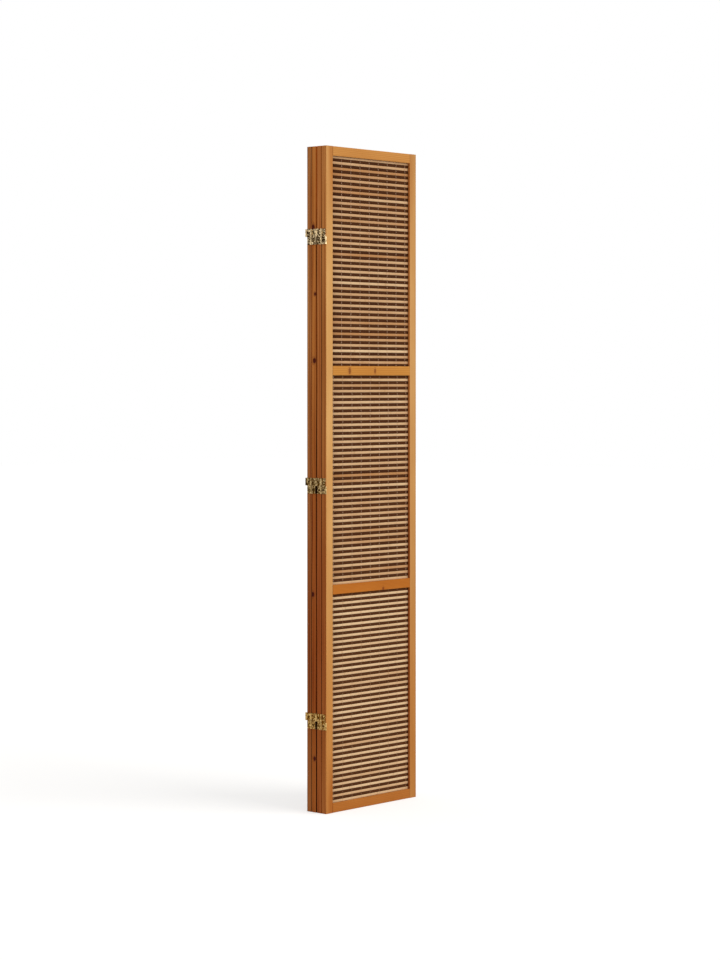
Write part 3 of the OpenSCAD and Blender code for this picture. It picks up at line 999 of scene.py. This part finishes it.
# %% The threads' paths
THREAD_COLUMNS = 9
THREAD_SPACING = 35.3 * MM
THREAD_POINTS = 6
THREAD_CLEAR = 0.03 * MM
THREAD_DRAWN = {"bottom": 0.37, "middle": 0.51, "top": 0.56}    # pulled thinner than it was spun
FACE_FROM, FACE_TO = 0.22, 0.78       # the part of a slat's height where a strand lies on its face
CROSSING_FLAT = 0.55                  # how thick a strand is at a crossing


def thread_rings(panel, blind, thread_r):
    """Path of a strand: x is its column, z steps through (crossing, face, face) for each slat,
    and y = reach x side x (0, 1, 1), with the side changing from slat to slat. The section is a
    six-sided ring of radius thread_r, flattened where the strands cross."""
    foot, step, slats = blind_rows(panel, blind)
    slat = np.repeat(np.arange(slats), 3)
    part = np.tile(np.array([0.0, FACE_FROM, FACE_TO]), slats)
    lift = np.tile(np.array([0.0, 1.0, 1.0]), slats)
    side = np.where(slat % 2 == 0, 1.0, -1.0)
    column = (np.arange(THREAD_COLUMNS) - THREAD_COLUMNS // 2) * THREAD_SPACING + BLINDS[blind][5]
    strand = np.array([1.0, -1.0])
    low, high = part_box(f"panel_{panel}_light_slats")
    reach = (high.y - low.y) / 2 + thread_r
    angle = np.linspace(0, 2 * math.pi, THREAD_POINTS, endpoint=False)
    shape = (THREAD_COLUMNS, 2, len(slat), THREAD_POINTS)
    flat = CROSSING_FLAT + (1 - CROSSING_FLAT) * lift[:, None]
    path_y = (low.y + high.y) / 2 + strand[:, None, None] * (reach * lift * side)[:, None]
    x = column[:, None, None, None] + thread_r * np.cos(angle)
    y = path_y + thread_r * flat * np.sin(angle)
    z = (foot + (slat + part) * step)[:, None] + 0 * angle
    rings = np.stack([np.broadcast_to(v, shape) for v in (x, y, z)], axis=-1)
    return rings.reshape(THREAD_COLUMNS * 2, len(slat), THREAD_POINTS, 3)


print("strands a blind:", 2 * THREAD_COLUMNS)

# %% The threads of a panel


def make_threads(panel):
    """The strands of the three blinds, joined into one piece. Full thickness is what the solids
    leave in front of a slat, and each blind's thread is drawn thinner than that."""
    low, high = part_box(f"panel_{panel}_threads")
    slat_low, slat_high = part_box(f"panel_{panel}_light_slats")
    thread_r = (high.y - low.y - (slat_high.y - slat_low.y)) / 4 - THREAD_CLEAR
    parts = [skin_tubes(f"panel_{panel}_{blind}_threads_part",
                        thread_rings(panel, blind, thread_r * THREAD_DRAWN[blind]))
             for blind in BLINDS]
    bpy.ops.object.select_all(action="DESELECT")
    for part in parts:
        part.select_set(True)
    bpy.context.view_layer.objects.active = parts[0]
    bpy.ops.object.join()
    piece = parts[0]
    piece.name = piece.data.name = f"panel_{panel}_woven_threads"
    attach(piece, f"panel_{panel}")
    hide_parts(f"panel_{panel}_threads")
    return piece


print("thread drawn to", THREAD_DRAWN)

# %% [markdown]
# ## Cotton
# The thread is two-ply cotton, pale and matt. Its twist is finer than a millimetre, so it is a
# bump and a change of tone along the strand, from a wave on the position, and not real plies. Some
# columns are more soiled than others. The lowest blind was tied with a browner thread, which
# hardly shows in the photograph.

# %% The threads' finish
COTTON_DARK, COTTON_PALE = (0.84, 0.54, 0.35, 1), (0.98, 0.66, 0.47, 1)
SOILED = (0.50, 0.33, 0.17, 1)
SOIL_WAVES, SOIL_RISE, SOIL_SHARE = (28.0, 0, 0.9), (0.40, 0.62), 0.35
LOWEST_TINT = (0.80, 0.72, 0.62, 1)
LOWEST_TOP = (0.575, 0.56)            # the heights where the lowest blind ends
TWIST_WAVES, TWIST_SLOPE, TWIST_BEND = 260.0, (1.0, 1.0, 1.6), 1.5
COTTON_ROUGHNESS, COTTON_SHINE = 0.85, 0.08


def cotton_material():
    """Dark to pale by the twist, soiled by columns, and browner in the lowest blind."""
    material, tree, shader, coords = start_material("cotton_thread")
    where = coords["Object"]
    ply = add_node(tree, "ShaderNodeTexWave",
                   {"Vector": do_vector(tree, "MULTIPLY", where, TWIST_SLOPE),
                    "Scale": TWIST_WAVES, "Distortion": TWIST_BEND, "Detail": 1.0},
                   wave_type="BANDS", bands_direction="DIAGONAL").outputs["Fac"]
    colour = blend_colour(tree, ply, COTTON_DARK, COTTON_PALE)
    column = drawn_noise(tree, where, SOIL_WAVES, detail=1)
    soil = smooth_step(tree, column, *SOIL_RISE, 0.0, SOIL_SHARE)
    in_lowest = smooth_step(tree, parts_of(tree, where)[2], *LOWEST_TOP)
    colour = tinted(tree, blend_colour(tree, soil, colour, SOILED), in_lowest, LOWEST_TINT)
    fill(tree, shader, {
        "Base Color": colour, "Normal": relief(tree, ply, strength=0.6, deep=0.3 * MM),
        "Roughness": COTTON_ROUGHNESS, "Specular IOR Level": COTTON_SHINE})
    return material


cotton = cotton_material()
for number in PANELS:
    thread_piece = make_threads(number)
    thread_piece.data.materials.append(cotton)
print("threads outward:", signed_volume(thread_piece) > 0, "faces", len(thread_piece.data.polygons))

# %% [markdown]
# ## Brass
# The hinges are brass plate, polished when new, with dull patches of tarnish. The flat plates are
# painted dark all over but for small bright specks, a painted reflection of a darker room than the
# white one here, while the knuckles keep the bright brass colour. One group gives the dullness and
# the fine scratches of polishing, and the leaves, pins and screws each use it with their own
# values.

# %% The group for worn brass, with painted dark flats
DULL_WAVES, DULL_RISE = 210.0, (0.38, 0.66)
SPECK_WAVES, SPECK_FALL = 250.0, (0.49, 0.58)
LEFT_ON_SPECKS = 0.10                 # how dull a speck still is
SCRATCH_WAVES = (2600, 2600, 160)
SMOOTHEST, DULL_ROUGHNESS, SCRATCH_ROUGHNESS = 0.14, 0.25, 0.14


def make_brass_group():
    """Dull: slow noise, sharpened, for tarnish, or nearly all of a flat face, less the specks,
    which is a painted dark reflection. Scratch: noise drawn out along Z, as the polishing went.
    Roughness: a sum of both."""
    tree, take, give = new_group(
        "worn_brass_painted_dark_flats",
        {"Position": ("Vector", ORIGIN), "Bright": ("Color", (1, 1, 1, 1)),
         "Dull": ("Color", (0, 0, 0, 1)), "Amount": ("Float", 0.5), "Flat Painted Dark": ("Float", 0.0)},
        {"Colour": "Color", "Roughness": "Float", "Height": "Float"})
    slow = noise(tree, take["Position"], DULL_WAVES, detail=4, rough=0.6)
    patches = times(tree, smooth_step(tree, slow, *DULL_RISE), take["Amount"])
    fine = noise(tree, take["Position"], SPECK_WAVES, detail=3, rough=0.6)
    specks = smooth_step(tree, fine, *SPECK_FALL, 1.0, LEFT_ON_SPECKS)
    # on flat plates, a painted dark reflection all over but for the specks
    dull = do_math(tree, "MAXIMUM", patches, times(tree, take["Flat Painted Dark"], specks))
    scratch = drawn_noise(tree, take["Position"], SCRATCH_WAVES)
    wear = do_math(tree, "ADD", times(tree, dull, DULL_ROUGHNESS),
                   times(tree, scratch, SCRATCH_ROUGHNESS))
    fill(tree, give, {
        "Colour": blend_colour(tree, dull, take["Bright"], take["Dull"]),
        "Roughness": do_math(tree, "ADD", wear, SMOOTHEST), "Height": scratch})
    return tree


brass_group = make_brass_group()
print("group", brass_group.name, "with", len(brass_group.nodes), "nodes")

# %% [markdown]
# ## Each hinge's own tone, and its dirt and painted shade
# In the photograph the top hinge is whiter and brighter, the middle one brownest and the lowest one
# yellowest. The hinges of an edge are one mesh with one material, so the tones follow the height.
# Near-black dirt, which no hand or cloth reaches, and painted shade, where the lamp doesn't reach,
# cover two places: what a knuckle turns to the middle gap, and the knuckle of the middle hinge that
# stands out behind the stack.

# %% What follows the height of a hinge
HINGE_HEIGHTS = (0.233, 0.8335, 1.469)
HALF_TALL = 20 * MM
HALF_FADE = 0.4 * MM
BETWEEN_HINGES = 0.05                 # half the height over which one tone goes over into the next


def by_hinge(tree, height, colours):
    """The first colour round the lowest hinge, the second round the middle one, then the third."""
    colour = colours[0]
    for below, above, next_colour in zip(HINGE_HEIGHTS, HINGE_HEIGHTS[1:], colours[1:]):
        halfway = (below + above) / 2
        past = smooth_step(tree, height, halfway - BETWEEN_HINGES, halfway + BETWEEN_HINGES)
        colour = blend_colour(tree, past, colour, next_colour)
    return colour


def on_half(tree, height, middle, share):
    """The share on the half of a hinge whose middle is at that height, and 0 above and below."""
    off = absolute(tree, do_math(tree, "SUBTRACT", height, middle))
    return smooth_step(tree, off, HALF_TALL / 2, HALF_TALL / 2 - HALF_FADE, 0.0, share)


print("hinges at", HINGE_HEIGHTS)

# %% The dirt and painted shade on the hinges
# near-black and not metal: dirt, and painted shade in the middle gap and behind the stack
GRIME_AND_SHADE = (0.016, 0.005, 0.001, 1)
GRIME_AND_SHADE_Y = -0.8 * MM                   # the middle of the strip of dirt and painted shade, and half its width
GRIME_AND_SHADE_HALF = 1.7 * MM
GRIME_AND_SHADE_FADE = 0.3 * MM
GRIME_AND_SHADE_SHARES = (1.0, 1.0, 0.5)        # how thick it lies in the gap, lowest hinge first
BEHIND_SHARE = 0.80                   # how thick it lies on the knuckle behind the stack
BEHIND_FROM, BEHIND_FULL = BACK_Y - 2.2 * MM, BACK_Y - 1.2 * MM


def grime_and_shade_on(tree, where):
    """Dirt and painted shade on left-hand hinges: a strip at the middle of the stack on the lower
    half of each, and what lies furthest back on the upper half of the middle one."""
    x, y, height = parts_of(tree, where)
    on_left = smooth_step(tree, x, -JOINT_X, -STILE_OUT)
    off = absolute(tree, do_math(tree, "SUBTRACT", y, GRIME_AND_SHADE_Y))
    in_strip = smooth_step(tree, off, GRIME_AND_SHADE_HALF, GRIME_AND_SHADE_HALF - GRIME_AND_SHADE_FADE)
    lower_half = 0.0
    for middle, share in zip(HINGE_HEIGHTS, GRIME_AND_SHADE_SHARES):
        near = on_half(tree, height, middle - HALF_TALL / 2, share)
        lower_half = do_math(tree, "ADD", near, lower_half)
    behind = smooth_step(tree, y, BEHIND_FROM, BEHIND_FULL)
    upper_half = on_half(tree, height, HINGE_HEIGHTS[1] + HALF_TALL / 2, BEHIND_SHARE)
    return do_math(tree, "MAXIMUM", times(tree, in_strip, on_left, lower_half),
                   times(tree, behind, on_left, upper_half))


print("grime behind from", BEHIND_FROM)

# %% The finishes of the hinges and dowels
BRASS_TINTS = ((0.73, 0.60, 0.37, 1), (0.70, 0.60, 0.45, 1), (1.0, 0.91, 0.82, 1))
# Shares of the dull tone, as red, green and blue, and of the dull patches, lowest hinge first
DULL_SHARES = ((2.0, 1.8, 1.8), (1, 1, 1), (0.32, 0.28, 0.22))
PATCH_SHARES = (1.0, 1.0, 0.8)
FLAT_FACING = (0.93, 0.985)           # the normal's X from which a face counts as a flat plate, painted dark
BRASS_SHINE, SHINE_TINT = 0.03, (0.75, 0.62, 0.40, 1)


def brass_material(name, bright, dull, amount):
    """The group's colour, times a tint by the height of the hinge, under the dirt and painted
    shade, which isn't metal. The dull tone and the amount of dull patches follow the height too."""
    material, tree, shader, coords = start_material(name)
    where = coords["Object"]
    height = parts_of(tree, where)[2]
    facing = absolute(tree, parts_of(tree, coords["Normal"])[0])
    dulls = [tuple(a * b for a, b in zip(dull, share)) + (1,) for share in DULL_SHARES]
    amounts = [(amount * share,) * 3 + (1,) for share in PATCH_SHARES]
    made = use_group(tree, brass_group, {
        "Position": where, "Bright": bright, "Dull": by_hinge(tree, height, dulls),
        "Amount": by_hinge(tree, height, amounts),
        # flat plates get the painted dark reflection
        "Flat Painted Dark": smooth_step(tree, facing, *FLAT_FACING)})
    aged = tinted(tree, made["Colour"], 1.0, by_hinge(tree, height, BRASS_TINTS))
    grime_and_shade_share = grime_and_shade_on(tree, where)
    fill(tree, shader, {
        "Base Color": blend_colour(tree, grime_and_shade_share, aged, GRIME_AND_SHADE),
        "Metallic": do_math(tree, "SUBTRACT", 1.0, grime_and_shade_share), "Roughness": made["Roughness"],
        "Normal": relief(tree, made["Height"], strength=0.12, deep=0.2 * MM),
        "Specular IOR Level": BRASS_SHINE, "Specular Tint": SHINE_TINT})
    return material


brass_plate = brass_material("brass_plate", bright=(1.0, 0.85, 0.54, 1),
                             dull=(0.115, 0.060, 0.010, 1), amount=0.80)
brass_pin = brass_material("brass_pin", bright=(0.80, 0.68, 0.44, 1),
                           dull=(0.10, 0.07, 0.025, 1), amount=0.5)
brass_screw = brass_material("brass_screw", bright=(0.45, 0.34, 0.16, 1),
                             dull=(0.08, 0.05, 0.015, 1), amount=0.8)
dowel_wood = pine_material("dowel_beech", light=(0.62, 0.42, 0.22, 1), dark=(0.45, 0.27, 0.12, 1),
                           seed=7, level=True)
FINISHES = {"hinge_leaves": brass_plate, "hinge_links": brass_plate, "hinge_pins": brass_pin,
            "hinge_screws": brass_screw, "dowels": dowel_wood}

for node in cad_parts:
    for ending, material in FINISHES.items():
        if node.endswith(ending):
            assign(node, material)
print("materials", len(bpy.data.materials))
